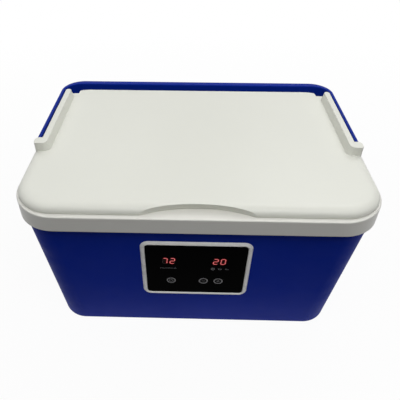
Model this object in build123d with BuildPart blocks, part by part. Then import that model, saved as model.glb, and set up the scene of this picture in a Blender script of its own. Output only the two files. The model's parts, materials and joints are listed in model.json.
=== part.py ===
from build123d import *
from math import cos, radians, sin, tan
import os

os.makedirs("parts", exist_ok=True)

# A cold therapy machine built like a small insulated cooler: a blue foamed box with a white
# tub and collar, a white lid that lifts off, a strap handle, a control panel in the front
# wall, a submersible pump in the tub and hose couplings in the rear wall.
# Millimetres. X runs to the right of the panel, Y to the back, Z up. The origin is on the
# floor, below the middle of the collar.

# Collar: the band of the tub liner that gives the box its outline
collar_width = 340.0
collar_depth = 241.5
collar_top = 174.0
collar_skirt = 18.0
collar_corner = 44.0
collar_corner_low = 39.0
collar_lean = 1.4
collar_edge_round = 1.2
skirt_wall = 2.6
flange_thick = 3.0

# Blue shell
wall_draft = 4.8
shell_step = 7.2
shell_wall = 2.5
shell_floor = 3.0
shell_corner_hidden = 33.0
shell_corner_radius = 28.0
shell_bottom_round = 5.0
foot_height = 1.5
foot_width = 44.0
foot_depth = 38.0

# Tub inside the foam
rim_width = 32.0
tub_wall = 2.2
tub_floor_top = 32.0
tub_corner = 24.0
tub_floor_round = 10.0
tub_mouth_round = 2.0
foam_gap = 0.4

# Lid
lid_front_step = 4.5
lid_side_step = 2.3
lid_rear_step = 6.6
lid_gap = 0.4
lid_wall = 2.2
lid_front_corner = 38.5
lid_rear_corner = 34.0
lid_tail_inset = 24.0
lid_tail_step = 23.75
lid_tail_corner = 8.0
lid_edge_height = 1.4
crown_rise = 6.8
crown_reach = 11.0
crown_sections = 5
lid_plug_gap = 2.5
lid_plug_depth = 16.0
lid_plug_corner = 21.0
lid_pan_round = 4.0
lid_flange_gap = 1.6
lid_flange_thick = 2.0
liner_gap = 1.8
foam_shoulder = 4.8
seal_width = 4.0
seal_inset = 6.0

# Rails of the lid and the feet in front of them
rail_inset = 17.5
rail_width = 6.0
rail_height = 17.5
rail_lean = 4.5
rail_front = 90.5
rail_back_inset = 30.75
rail_end_round = 5.5
rail_tip_round = 2.8
rail_foot_thick = 11.0
rail_foot_inset = 4.4
foot_front_round = 3.0
foot_back_round = 4.0

# Finger recess in the lid's front edge
scoop_width = 102.5
scoop_depth = 11.0
scoop_lip_depth = 6.0
scoop_rise = 12.0

# Carry handle and its pivots
pivot_from_front = 128.0
pivot_drop = 10.0
strap_height = 22.0
arm_gap = 0.6
arm_thick = 3.8
grip_thick = 9.0
grip_reach = 140.2
grip_corner = 27.0
grip_inner_corner = 20.0
grip_core_width = 3.4
grip_core_depth = 14.0
grip_core_end = 30.0
grip_core_round = 1.0
strap_round = 1.2
pin_radius = 3.5
pin_fit = 0.05
pin_head_radius = 6.0
pin_head_thick = 1.5
pin_snap_radius = 4.6
pin_snap_thick = 1.5
pin_snap_room = 1.5
pivot_pad_radius = 9.0
pivot_pad_proud = 0.3
pivot_pad_thick = 4.1
stop_half_width = 12.0
stop_thick = 3.0
stop_gap = 0.25
stop_reach = 4.8

# Control panel on the front wall
panel_height = 96.8
bezel_width = 107.0
bezel_height = 85.4
bezel_corner = 8.5
bezel_proud = 2.3
bezel_rim = 4.4
bezel_ledge = 1.6
bezel_skirt_depth = 9.0
bezel_skirt_wall = 2.0
bezel_round = 1.6
bezel_inner_round = 0.9
fascia_gap = 0.2
fascia_thick = 1.4
window_gap = 0.3
key_radius = 5.3
key_gap = 0.3
key_round = 0.3
key_flange_radius = 6.8
key_flange_thick = 1.0
key_row = -17.7
power_key_x = -24.3
minus_key_x = 8.3
plus_key_x = 23.2
digits_row = 14.2
left_digits_x = -26.4
right_digits_x = 22.9
display_width = 15.0
display_height = 14.0
display_gap = 0.3
board_face = 6.8
board_thick = 1.6
board_gap = 0.7
board_boss_radius = 3.2
board_screw_radius = 1.2
board_screw_head = 2.4
board_screw_tip = 1.0
board_hole_gap = 0.2
switch_size = 6.0
switch_height = 3.4
switch_round = 0.5
plunger_radius = 1.7
plunger_gap = 0.15
plunger_sink = 0.4
plunger_well = 1.3
status_led_x = 17.0
status_led_pitch = 6.9
status_led_row = 2.6
status_led_size = 3.0
cover_depth = 8.0
cover_wall = 1.8

# Connector plate on the rear wall
plate_height = 118.0
plate_width = 120.0
plate_tall = 42.0
plate_thick = 2.2
plate_corner = 6.0
plate_edge = 0.7
plate_screw_inset = 6.0
plate_screw_radius = 1.5
plate_screw_head = 2.9
plate_screw_head_thick = 1.6
plate_screw_dome = 0.9
screw_cross_long = 2.6
screw_cross_wide = 0.6
screw_cross_deep = 0.9
inlet_x = -38.0
outlet_x = 4.0
return_x = 36.0
pocket_width = 36.0
pocket_low = -14.0
pocket_high = 22.0
pocket_window_margin = 4.0
pocket_window_corner = 3.0

# Hose couplings
socket_radius = 4.8
socket_depth = 16.0
barrel_radius = 9.0
barrel_length = 18.0
coupling_flange_radius = 12.0
coupling_flange_thick = 2.5
lip_chamfer = 0.8
flute_count = 12
flute_radius = 0.9
flute_margin = 3.0
tail_radius = 6.0
tail_bore = 2.8
tail_gap = 0.4
nut_across = 18.0
nut_thick = 5.0
tail_spare = 2.0
seal_thick = 1.5
barb_radius = 4.0
barb_length = 14.0

# Direct current inlet
inlet_ring_radius = 7.0
inlet_ring_thick = 2.0
inlet_ring_round = 0.6
inlet_fit = 0.1
inlet_body_radius = 5.5
inlet_length = 18.0
inlet_socket_radius = 2.85
inlet_socket_depth = 9.5
inlet_pin_radius = 1.05
inlet_nut_across = 14.0
inlet_nut_thick = 2.5

# Pump in the tub
pump_y = 14.0
pump_size = 34.0
pump_body_length = 34.0
pump_round = 5.0
pump_end_round = 3.0
lead_boss_wall = 1.6
lead_boss_height = 4.0
lead_sink = 4.0
volute_length = 13.0
strainer_length = 9.0
strainer_wall = 1.8
strainer_slot = 2.0
strainer_slots = 5
strainer_pitch = 4.8
strainer_round = 2.0
foot_cup_radius = 7.5
foot_cup_height = 6.0
foot_stem_radius = 2.6
foot_stem_height = 1.5
rotor_radius = 8.5
rotor_length = 22.0
rotor_gap = 0.5
impeller_radius = 12.0
impeller_thick = 6.0
vane_count = 6
vane_thick = 1.4
vane_inset = 0.6
vane_root = 0.5
shaft_radius = 1.25
shaft_fit = 0.04
stub_length = 14.0
stub_bore = 2.6
chamber_gap = 1.5
chamber_depth = 8.0
inlet_hole_radius = 7.0
inlet_spoke = 2.4
impeller_set = 0.4
impeller_plate = 1.5
hub_radius = 3.0
shaft_sink = 3.0
well_depth = 23.0

# Hoses, leads and probe
hose_radius = 6.0
hose_fit = 0.05
hose_bend = 36.0
return_bend = 30.0
return_reach = 48.0
return_drop = 45.0
clamp_thick = 1.2
clamp_width = 6.0
clamp_lug = 5.0
wall_fit = 0.05
lead_inset = 8.0
lead_behind = 8.0
lead_radius = 2.2
lead_bend = 34.0
lead_fit = 0.1
gland_radius = 5.5
gland_flange = 7.5
gland_flange_thick = 2.0
gland_row = 14.0
gland_nose = 4.0
gland_tail = 3.0
probe_radius = 2.5
probe_tip = 14.0
probe_tip_flat = 0.4
probe_flange = 6.0
probe_row = -6.0
probe_shift = 10.0
harness_radius = 2.5
harness_gap = 0.5
harness_bend = 34.0
harness_tail = 4.0

# Worked out from the driving dimensions
slope = tan(radians(wall_draft))
half_width = collar_width / 2
half_depth = collar_depth / 2
collar_bottom = collar_top - collar_skirt
shell_top = collar_top - flange_thick
shell_floor_top = foot_height + shell_floor
tub_floor_low = tub_floor_top - tub_wall
wall_total = (rim_width + slope * collar_skirt - shell_step) * cos(radians(wall_draft))


def shell_inset(z):
    """How far the blue wall stands inside the collar's outline at a height."""
    return shell_step + slope * (collar_bottom - z)


def shell_corner(z):
    """Corner radius of the blue wall at a height: it grows only where the collar hides it."""
    share = max(0.0, z - collar_bottom) / (shell_top - collar_bottom)
    return shell_corner_radius + (shell_corner_hidden - shell_corner_radius) * share


def tub_inset(z):
    """How far the tub's inner face stands inside the collar's outline at a height."""
    return rim_width + slope * (collar_top - z)


def rounded_loft(levels):
    """A solid through rounded rectangles, each an inset from the collar's outline."""
    with BuildPart() as form:
        for height, inset, corner in levels:
            with BuildSketch(Plane.XY.offset(height)):
                RectangleRounded(collar_width - 2 * inset, collar_depth - 2 * inset, corner)
        loft(ruled=True)
    return form.part


def shell_form(low, high, inward):
    """The blue wall's form between two heights, set in by a wall thickness."""
    heights = (low, collar_bottom, high)
    return rounded_loft([(z, shell_inset(z) + inward, shell_corner(z) - inward) for z in heights])


def tub_form(low, high, outward):
    """The tub's inner form between two heights, grown by a wall thickness."""
    return rounded_loft([(z, tub_inset(z) - outward, tub_corner + outward) for z in (low, high)])


def wall_plane(side, x, z):
    """A plane on the blue wall's outer face, front (-1) or rear (1), with its Z pointing out."""
    lean = radians(wall_draft)
    origin = (x, side * (half_depth - shell_inset(z)), z)
    return Plane(origin=origin, x_dir=(-side, 0, 0), z_dir=(0, side * cos(lean), -sin(lean)))


def save(piece, name):
    """Label a finished piece and write its file."""
    piece.part.label = name
    export_step(piece.part, "parts/" + name + ".step")


panel = wall_plane(-1, 0, panel_height)
rear = wall_plane(1, 0, plate_height)
inlet_spot = (-inlet_x, 0)
outlet_spot = (-outlet_x, 0)
return_spot = (-return_x, 0)
coupling_spots = [outlet_spot, return_spot]
motor_right = outlet_x - volute_length / 2
motor_left = motor_right - pump_body_length
lead_x = motor_left + lead_inset
gland_spot = (-lead_x, gland_row)
probe_spot = (-inlet_x + probe_shift, probe_row)
pivot_y = pivot_from_front - half_depth
pivot_z = collar_top - pivot_drop
arm_inner = half_width + arm_gap
arm_outer = arm_inner + arm_thick
stop_top = pivot_z - strap_height / 2 - stop_gap

# Outer shell: leaning walls, a floor raised between four corner feet, windows for the fittings
shell_body = shell_form(0, shell_top, 0)
shell_hollow = shell_form(shell_floor_top, shell_top, shell_wall)
floor_width = collar_width - 2 * shell_inset(0)
floor_depth = collar_depth - 2 * shell_inset(0)
skirt_width = bezel_width - 2 * bezel_rim + 2 * bezel_ledge - 2 * fascia_gap
skirt_height = bezel_height - 2 * bezel_rim + 2 * bezel_ledge - 2 * fascia_gap
with BuildPart() as outer_shell:
    add(shell_body)
    fillet(outer_shell.faces().sort_by(Axis.Z)[0].edges(), shell_bottom_round)
    add(shell_hollow, mode=Mode.SUBTRACT)
    with BuildSketch():
        Rectangle(floor_width - 2 * foot_width, collar_depth)
        Rectangle(collar_width, floor_depth - 2 * foot_depth)
    extrude(amount=foot_height, mode=Mode.SUBTRACT)
    with BuildSketch(panel):
        RectangleRounded(skirt_width + 2 * window_gap, skirt_height + 2 * window_gap,
                         bezel_corner - bezel_rim)
    extrude(amount=2 * shell_wall, both=True, mode=Mode.SUBTRACT)
    with BuildSketch(rear):
        with Locations(coupling_spots):
            Circle(tail_radius + tail_gap)
        with Locations((-inlet_x, (pocket_low + pocket_high) / 2)):
            RectangleRounded(pocket_width - 2 * pocket_window_margin,
                             pocket_high - pocket_low - 2 * pocket_window_margin, pocket_window_corner)
        with GridLocations(plate_width - 2 * plate_screw_inset, plate_tall - 2 * plate_screw_inset, 2, 2):
            Circle(plate_screw_radius)
    extrude(amount=2 * shell_wall, both=True, mode=Mode.SUBTRACT)
    with BuildSketch(Plane.YZ.offset(-half_width)):
        with Locations((pivot_y, pivot_z)):
            Circle(pin_snap_radius + pin_snap_room)
        with Locations((pivot_y, pivot_z + collar_skirt / 2)):
            Rectangle(2 * (pin_snap_radius + pin_snap_room), collar_skirt)
    extrude(amount=collar_width, mode=Mode.SUBTRACT)
save(outer_shell, "outer_shell")

# Tub liner: collar flange with its skirt, the tub, pivot pads and handle stops in one moulding
tub_hollow_form = tub_form(tub_floor_top, collar_top, 0)
with BuildPart() as tub_hollow:
    add(tub_hollow_form)
    fillet(tub_hollow.faces().sort_by(Axis.Z)[0].edges(), tub_floor_round)
tub_outside = tub_form(tub_floor_low, collar_top, tub_wall)
collar_body = rounded_loft([(collar_bottom, collar_lean, collar_corner_low),
                            (collar_top, 0, collar_corner)])
skirt_inset = collar_lean + skirt_wall
skirt_hollow = rounded_loft([(collar_bottom, skirt_inset, collar_corner_low - skirt_wall),
                             (shell_top, skirt_wall, collar_corner - skirt_wall)])
with BuildPart() as tub_liner:
    add(collar_body)
    fillet(tub_liner.faces().sort_by(Axis.Z)[-1].edges(), collar_edge_round)
    add(skirt_hollow, mode=Mode.SUBTRACT)
    add(tub_outside)
    for side in (-1, 1):
        with BuildSketch(Plane.YZ.offset(side * (half_width + pivot_pad_proud))):
            with Locations((pivot_y, pivot_z)):
                Circle(pivot_pad_radius)
        extrude(amount=-side * pivot_pad_thick)
        with BuildSketch(Plane.YZ.offset(side * (half_width - skirt_inset))):
            with Locations((pivot_y, stop_top - stop_thick / 2)):
                Rectangle(2 * stop_half_width, stop_thick)
        extrude(amount=side * (stop_reach + skirt_inset))
        with BuildSketch(Plane.YZ.offset(side * (half_width - skirt_inset))):
            with Locations((pivot_y, stop_top)):
                Rectangle(2 * stop_half_width, collar_skirt / 4, align=(Align.CENTER, Align.MIN))
        extrude(amount=side * skirt_wall)
        with BuildSketch(Plane.YZ.offset(side * (half_width + pivot_pad_proud))):
            with Locations((pivot_y, pivot_z)):
                Circle(pin_radius)
        extrude(amount=-side * pivot_pad_thick, mode=Mode.SUBTRACT)
    add(tub_hollow.part, mode=Mode.SUBTRACT)
    mouth = tub_liner.faces().filter_by(Axis.Z).sort_by(Axis.Z)[-1].inner_wires()[0]
    fillet(mouth.edges(), tub_mouth_round)
    with BuildSketch(rear):
        with Locations(coupling_spots):
            Circle(tail_radius + tail_gap)
        with Locations(gland_spot):
            Circle(gland_radius + wall_fit)
        with Locations(probe_spot):
            Circle(probe_radius + wall_fit)
    extrude(amount=-wall_total - 2 * tub_wall, mode=Mode.SUBTRACT)
save(tub_liner, "tub_liner")

# Wall foam: fills the space between shell and tub, with pockets for the fittings
foam_body = shell_form(shell_floor_top, shell_top, shell_wall + foam_gap)
foam_tub = tub_form(tub_floor_low, shell_top, tub_wall + foam_gap)
cover_reach = bezel_skirt_depth + cover_depth
harness_inset = shell_inset(panel_height) + (bezel_skirt_depth + cover_depth / 2) / cos(radians(wall_draft))
harness_y = harness_inset - half_depth
harness_z = panel_height - sin(radians(wall_draft)) * (bezel_skirt_depth + cover_depth / 2)
harness_x = half_width - harness_inset
harness_start = skirt_width / 2 - cover_wall / 2
harness_end = inlet_x + pocket_width / 2 - harness_tail
groove_end = harness_end - harness_gap
with BuildPart() as wall_foam:
    add(foam_body)
    add(foam_tub, mode=Mode.SUBTRACT)
    with BuildSketch(panel):
        Rectangle(skirt_width + 2 * foam_gap, skirt_height + 2 * foam_gap)
    extrude(amount=-cover_reach - foam_gap, mode=Mode.SUBTRACT)
    with BuildSketch(rear):
        with Locations(coupling_spots):
            Circle(tail_radius + tail_gap)
        with Locations((-inlet_x, (pocket_low + pocket_high) / 2)):
            Rectangle(pocket_width, pocket_high - pocket_low)
    extrude(amount=-wall_total, mode=Mode.SUBTRACT)
    with BuildLine() as harness_groove:
        FilletPolyline((harness_start, harness_y, harness_z), (harness_x, harness_y, harness_z),
                       (harness_x, -harness_y, harness_z), (groove_end, -harness_y, harness_z),
                       radius=harness_bend)
    with BuildSketch(Plane(harness_groove.line @ 0, z_dir=harness_groove.line % 0)):
        Circle(harness_radius + harness_gap)
    sweep(mode=Mode.SUBTRACT)
save(wall_foam, "wall_foam")

# Wiring harness: from the control box round the right of the tub to the inlet's pocket
with BuildPart() as wiring_harness:
    with BuildLine() as harness_path:
        FilletPolyline((harness_start, harness_y, harness_z), (harness_x, harness_y, harness_z),
                       (harness_x, -harness_y, harness_z), (harness_end, -harness_y, harness_z),
                       radius=harness_bend)
    with BuildSketch(Plane(harness_path.line @ 0, z_dir=harness_path.line % 0)):
        Circle(harness_radius)
    sweep()
save(wiring_harness, "wiring_harness")

# Panel bezel: pale frame proud of the wall, with a skirt through the window and four bosses
opening_width = bezel_width - 2 * bezel_rim
opening_height = bezel_height - 2 * bezel_rim
board_width = skirt_width - 2 * bezel_skirt_wall - 2 * board_gap
board_height = skirt_height - 2 * bezel_skirt_wall - 2 * board_gap
boss_span_x = skirt_width - 2 * bezel_skirt_wall - 2 * board_screw_head
boss_span_y = skirt_height - 2 * bezel_skirt_wall - 2 * board_screw_head
with BuildPart() as panel_bezel:
    with BuildSketch(panel):
        RectangleRounded(bezel_width, bezel_height, bezel_corner)
    extrude(amount=bezel_proud)
    outer_rim = panel_bezel.faces().sort_by(Axis(panel.origin, panel.z_dir))[-1].edges()
    fillet(outer_rim, bezel_round)
    with BuildSketch(panel.offset(-bezel_skirt_depth)):
        RectangleRounded(skirt_width, skirt_height, bezel_corner - bezel_rim)
    extrude(amount=bezel_skirt_depth)
    with BuildSketch(panel):
        RectangleRounded(opening_width, opening_height, bezel_corner - bezel_rim)
    extrude(amount=bezel_proud, mode=Mode.SUBTRACT)
    rim_face = panel_bezel.faces().sort_by(Axis(panel.origin, panel.z_dir))[-1]
    fillet(rim_face.inner_wires()[0].edges(), bezel_inner_round)
    with BuildSketch(panel.offset(-bezel_skirt_depth)):
        Rectangle(skirt_width - 2 * bezel_skirt_wall, skirt_height - 2 * bezel_skirt_wall)
    extrude(amount=bezel_skirt_depth, mode=Mode.SUBTRACT)
    with BuildSketch(panel.offset(-board_face)):
        with GridLocations(boss_span_x, boss_span_y, 2, 2):
            Circle(board_boss_radius)
            Circle(board_screw_radius, mode=Mode.SUBTRACT)
    extrude(amount=board_face)
save(panel_bezel, "panel_bezel")

# Panel fascia: glossy black window on the bezel's ledge, with a hole for each key
key_spots = [(power_key_x, key_row), (minus_key_x, key_row), (plus_key_x, key_row)]
key_names = ["power_key", "minus_key", "plus_key"]
plunger_names = ["power_plunger", "minus_plunger", "plus_plunger"]
with BuildPart() as panel_fascia:
    with BuildSketch(panel):
        RectangleRounded(opening_width - 2 * fascia_gap, opening_height - 2 * fascia_gap,
                         bezel_corner - bezel_rim - fascia_gap)
        with Locations(key_spots):
            Circle(key_radius + key_gap, mode=Mode.SUBTRACT)
    extrude(amount=fascia_thick)
save(panel_fascia, "panel_fascia")

# Keys: round caps flush with the fascia, each held behind it by a flange
switch_face = switch_height - board_face
for spot, key_name, plunger_name in zip(key_spots, key_names, plunger_names):
    with BuildPart() as key:
        with BuildSketch(panel):
            with Locations(spot):
                Circle(key_radius)
        extrude(amount=fascia_thick)
        fillet(key.faces().sort_by(Axis(panel.origin, panel.z_dir))[-1].edges(), key_round)
        with BuildSketch(panel.offset(-key_flange_thick)):
            with Locations(spot):
                Circle(key_flange_radius)
        extrude(amount=key_flange_thick)
    save(key, key_name)
    with BuildPart() as plunger:
        with BuildSketch(panel.offset(switch_face - plunger_sink)):
            with Locations(spot):
                Circle(plunger_radius)
        extrude(amount=-key_flange_thick - switch_face + plunger_sink)
    save(plunger, plunger_name)

# Key switches: three square switch bodies on the board, each with a well for its plunger
with BuildPart() as key_switches:
    with BuildSketch(panel.offset(-board_face)):
        with Locations(key_spots):
            RectangleRounded(switch_size, switch_size, switch_round)
    extrude(amount=switch_height)
    with BuildSketch(panel.offset(switch_face)):
        with Locations(key_spots):
            Circle(plunger_radius + plunger_gap)
    extrude(amount=-plunger_well, mode=Mode.SUBTRACT)
save(key_switches, "key_switches")

# Two digit display modules: resin blocks with their segments as shallow grooves in the face
digit_height = 10.0
digit_width = 4.9
digit_pitch = 7.2
segment_width = 1.1
segment_deep = 0.3
segment_gap = 0.3
segment_bars = [(0, digit_height / 2, True), (0, 0, True), (0, -digit_height / 2, True),
                (-digit_width / 2, digit_height / 4, False), (digit_width / 2, digit_height / 4, False),
                (-digit_width / 2, -digit_height / 4, False), (digit_width / 2, -digit_height / 4, False)]
for centre_x, display_name in ((left_digits_x, "temperature_display"), (right_digits_x, "timer_display")):
    with BuildPart() as display:
        with BuildSketch(panel.offset(-board_face)):
            with Locations((centre_x, digits_row)):
                Rectangle(display_width, display_height)
        extrude(amount=board_face - display_gap)
        with BuildSketch(panel.offset(-display_gap)):
            for digit in (-1, 1):
                for bar_x, bar_y, flat in segment_bars:
                    long_side = (digit_width if flat else digit_height / 2) - segment_width - segment_gap
                    size = (long_side, segment_width) if flat else (segment_width, long_side)
                    with Locations((centre_x + digit * digit_pitch / 2 + bar_x, digits_row + bar_y)):
                        Rectangle(*size)
        extrude(amount=-segment_deep, mode=Mode.SUBTRACT)
    save(display, display_name)

# Status lights: three small chips on tall bases under the right display
with BuildPart() as status_leds:
    with BuildSketch(panel.offset(-board_face)):
        for count in range(3):
            with Locations((status_led_x + count * status_led_pitch, status_led_row)):
                Rectangle(status_led_size, status_led_size)
    extrude(amount=board_face - display_gap)
save(status_leds, "status_leds")

# Control board: behind the bezel, screwed to its four bosses
with BuildPart() as control_board:
    with BuildSketch(panel.offset(-board_face)):
        Rectangle(board_width, board_height)
        with GridLocations(boss_span_x, boss_span_y, 2, 2):
            Circle(board_screw_radius + board_hole_gap, mode=Mode.SUBTRACT)
    extrude(amount=-board_thick)
save(control_board, "control_board")

with BuildPart() as board_screws:
    with BuildSketch(panel.offset(-board_face - board_thick)):
        with GridLocations(boss_span_x, boss_span_y, 2, 2):
            Circle(board_screw_head)
    extrude(amount=-board_thick)
    with BuildSketch(panel.offset(-board_face - board_thick)):
        with GridLocations(boss_span_x, boss_span_y, 2, 2):
            Circle(board_screw_radius)
    extrude(amount=board_thick + board_face - board_screw_tip)
save(board_screws, "board_screws")

# Control cover: tray that closes the bezel's skirt from behind, notched for the harness
with BuildPart() as control_cover:
    with BuildSketch(panel.offset(-bezel_skirt_depth)):
        RectangleRounded(skirt_width, skirt_height, bezel_corner - bezel_rim)
    extrude(amount=-cover_depth)
    with BuildSketch(panel.offset(-bezel_skirt_depth)):
        RectangleRounded(skirt_width - 2 * cover_wall, skirt_height - 2 * cover_wall,
                         bezel_corner - bezel_rim - cover_wall)
    extrude(amount=-cover_depth + cover_wall, mode=Mode.SUBTRACT)
    with BuildSketch(Plane.YZ.offset(harness_start - cover_wall)):
        with Locations((harness_y, harness_z)):
            Circle(harness_radius + harness_gap / 2)
    extrude(amount=2 * cover_wall + foam_gap, mode=Mode.SUBTRACT)
save(control_cover, "control_cover")

# Connector plate: on the rear wall, with holes for the couplings, the inlet and four screws
screw_span_x = plate_width - 2 * plate_screw_inset
screw_span_y = plate_tall - 2 * plate_screw_inset
with BuildPart() as connector_plate:
    with BuildSketch(rear):
        RectangleRounded(plate_width, plate_tall, plate_corner)
    extrude(amount=plate_thick)
    chamfer(connector_plate.faces().sort_by(Axis(rear.origin, rear.z_dir))[-1].edges(), plate_edge)
    with BuildSketch(rear):
        with Locations(coupling_spots):
            Circle(tail_radius + tail_gap)
        with Locations(inlet_spot):
            Circle(inlet_body_radius + inlet_fit)
        with GridLocations(screw_span_x, screw_span_y, 2, 2):
            Circle(plate_screw_radius)
    extrude(amount=plate_thick, mode=Mode.SUBTRACT)
save(connector_plate, "connector_plate")

with BuildPart() as plate_screws:
    with BuildSketch(rear.offset(plate_thick)):
        with GridLocations(screw_span_x, screw_span_y, 2, 2):
            Circle(plate_screw_head)
    extrude(amount=plate_screw_head_thick)
    head_rims = plate_screws.edges().filter_by(GeomType.CIRCLE).group_by(Axis(rear.origin, rear.z_dir))[-1]
    fillet(head_rims, plate_screw_dome)
    with BuildSketch(rear.offset(plate_thick)):
        with GridLocations(screw_span_x, screw_span_y, 2, 2):
            Circle(plate_screw_radius)
    extrude(amount=-plate_thick - shell_wall)
    with BuildSketch(rear.offset(plate_thick + plate_screw_head_thick)):
        with GridLocations(screw_span_x, screw_span_y, 2, 2):
            Rectangle(screw_cross_long, screw_cross_wide)
            Rectangle(screw_cross_wide, screw_cross_long)
    extrude(amount=-screw_cross_deep, mode=Mode.SUBTRACT)
save(plate_screws, "plate_screws")

# Hose couplings: a socket outside, a threaded tail through the wall and a barb in the tub
tail_length = wall_total + nut_thick + tail_spare
for spot, coupling_name in ((outlet_spot, "outlet_coupling"), (return_spot, "return_coupling")):
    with BuildPart() as coupling:
        with BuildSketch(rear.offset(plate_thick)):
            with Locations(spot):
                Circle(coupling_flange_radius)
        extrude(amount=coupling_flange_thick)
        with BuildSketch(rear.offset(plate_thick)):
            with Locations(spot):
                Circle(barrel_radius)
        extrude(amount=barrel_length)
        lip = coupling.edges().filter_by(GeomType.CIRCLE).sort_by(Axis(rear.origin, rear.z_dir))[-1]
        chamfer(lip, lip_chamfer)
        with BuildSketch(rear.offset(plate_thick + coupling_flange_thick + flute_margin)):
            with Locations(spot):
                with PolarLocations(barrel_radius, flute_count):
                    Circle(flute_radius)
        extrude(amount=barrel_length - coupling_flange_thick - 2 * flute_margin, mode=Mode.SUBTRACT)
        with BuildSketch(rear.offset(plate_thick)):
            with Locations(spot):
                Circle(tail_radius)
        extrude(amount=-plate_thick - tail_length)
        with BuildSketch(rear.offset(-tail_length)):
            with Locations(spot):
                Circle(barb_radius)
        extrude(amount=-barb_length)
        with BuildSketch(rear.offset(plate_thick)):
            with Locations(spot):
                Circle(tail_bore)
        extrude(amount=-plate_thick - tail_length - barb_length, mode=Mode.SUBTRACT)
        with BuildSketch(rear.offset(plate_thick + barrel_length)):
            with Locations(spot):
                Circle(socket_radius)
        extrude(amount=-socket_depth, mode=Mode.SUBTRACT)
        with BuildSketch(rear.offset(plate_thick)):
            with Locations(spot):
                Circle(tail_bore)
        extrude(amount=barrel_length - socket_depth, mode=Mode.SUBTRACT)
    save(coupling, coupling_name)

with BuildPart() as coupling_seals:
    with BuildSketch(rear.offset(-wall_total)):
        with Locations(coupling_spots):
            Circle(nut_across / 2)
            Circle(tail_radius + wall_fit, mode=Mode.SUBTRACT)
    extrude(amount=-seal_thick)
save(coupling_seals, "coupling_seals")

with BuildPart() as coupling_nuts:
    with BuildSketch(rear.offset(-wall_total - seal_thick)):
        with Locations(coupling_spots):
            RegularPolygon(nut_across / 2, 6, major_radius=False)
            Circle(tail_radius + wall_fit, mode=Mode.SUBTRACT)
    extrude(amount=-nut_thick)
save(coupling_nuts, "coupling_nuts")

# Direct current inlet: a ring outside, a socket with its centre pin, and a nut behind the plate
with BuildPart() as dc_inlet:
    with BuildSketch(rear.offset(plate_thick)):
        with Locations(inlet_spot):
            Circle(inlet_ring_radius)
    extrude(amount=inlet_ring_thick)
    ring_rim = dc_inlet.edges().filter_by(GeomType.CIRCLE).sort_by(Axis(rear.origin, rear.z_dir))[-1]
    fillet(ring_rim, inlet_ring_round)
    with BuildSketch(rear.offset(plate_thick)):
        with Locations(inlet_spot):
            Circle(inlet_body_radius)
    extrude(amount=-inlet_length)
    with BuildSketch(rear.offset(plate_thick + inlet_ring_thick)):
        with Locations(inlet_spot):
            Circle(inlet_socket_radius)
            Circle(inlet_pin_radius, mode=Mode.SUBTRACT)
    extrude(amount=-inlet_socket_depth, mode=Mode.SUBTRACT)
    with BuildSketch(rear.offset(plate_thick + inlet_ring_thick)):
        with Locations(inlet_spot):
            Circle(inlet_socket_radius)
    extrude(amount=-inlet_ring_thick / 2, mode=Mode.SUBTRACT)
save(dc_inlet, "dc_inlet")

with BuildPart() as inlet_nut:
    with BuildSketch(rear):
        with Locations(inlet_spot):
            RegularPolygon(inlet_nut_across / 2, 6, major_radius=False)
            Circle(inlet_body_radius + wall_fit, mode=Mode.SUBTRACT)
    extrude(amount=-inlet_nut_thick)
save(inlet_nut, "inlet_nut")

# Lid: a rounded plan with a rolled edge, cut away beside the rails and at its rear corners
lid_width = collar_width - 2 * lid_side_step
lid_front_y = lid_front_step - half_depth
lid_back_y = half_depth - lid_rear_step
lid_base = collar_top + lid_gap
lid_edge_top = collar_top + lid_edge_height
lid_flange_low = collar_top + lid_flange_gap
lid_flange_top = lid_flange_low + lid_flange_thick
lid_tail_half = half_width - lid_tail_inset
lid_tail_from = half_depth - lid_tail_step
rail_inner = half_width - rail_inset
rail_outer = rail_inner + rail_width
rail_foot_outer = half_width - rail_foot_inset
rail_top = collar_top + rail_height
rail_front_y = rail_front - half_depth
rail_back_y = half_depth - rail_back_inset
foot_back_y = rail_front_y + rail_foot_thick


def lid_outline(inset):
    """Plan of the lid, set in by an amount."""
    with BuildSketch() as outline:
        with Locations((0, (lid_front_y + lid_back_y) / 2)):
            Rectangle(lid_width - 2 * inset, lid_back_y - lid_front_y - 2 * inset)
        fillet(outline.vertices().group_by(Axis.Y)[0], lid_front_corner - inset)
        fillet(outline.vertices().group_by(Axis.Y)[-1], lid_rear_corner - inset)
    return outline.sketch


def lid_tail(inset):
    """Plan of the narrower part of the lid between the two rear notches, set in by an amount."""
    with BuildSketch() as tail:
        with Locations((0, lid_back_y - inset)):
            Rectangle(2 * (lid_tail_half - inset), collar_depth, align=(Align.CENTER, Align.MAX))
        fillet(tail.vertices().group_by(Axis.Y)[-1], lid_tail_corner - inset)
    return tail.sketch


def crown_form(base, inset, drop):
    """The lid's crown: an upright edge, then a quarter ellipse in towards the flat top."""
    with BuildPart() as form:
        with BuildSketch(Plane.XY.offset(base)):
            add(lid_outline(inset))
        extrude(amount=lid_edge_top - base)
        for section in range(crown_sections + 1):
            turn = radians(90 * section / crown_sections)
            with BuildSketch(Plane.XY.offset(lid_edge_top + (crown_rise - drop) * sin(turn))):
                add(lid_outline(inset + crown_reach * (1 - cos(turn))))
        loft()
    return form.part


def side_notches(grow):
    """Space beside the rails, where the handle's arms lie, and at the lid's two rear corners."""
    tail = lid_tail(grow)
    with BuildPart() as notches:
        with BuildSketch(Plane.XY.offset(collar_top)):
            for side in (-1, 1):
                with Locations((side * (rail_outer - grow), foot_back_y - grow)):
                    Rectangle(half_width, collar_depth,
                              align=(Align.MIN if side > 0 else Align.MAX, Align.MIN))
        extrude(amount=2 * rail_height)
        with BuildSketch(Plane.XY.offset(collar_top)):
            with Locations((0, lid_tail_from - grow)):
                Rectangle(collar_width, collar_depth, align=(Align.CENTER, Align.MIN))
            add(tail, mode=Mode.SUBTRACT)
        extrude(amount=2 * rail_height)
    return notches.part


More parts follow.
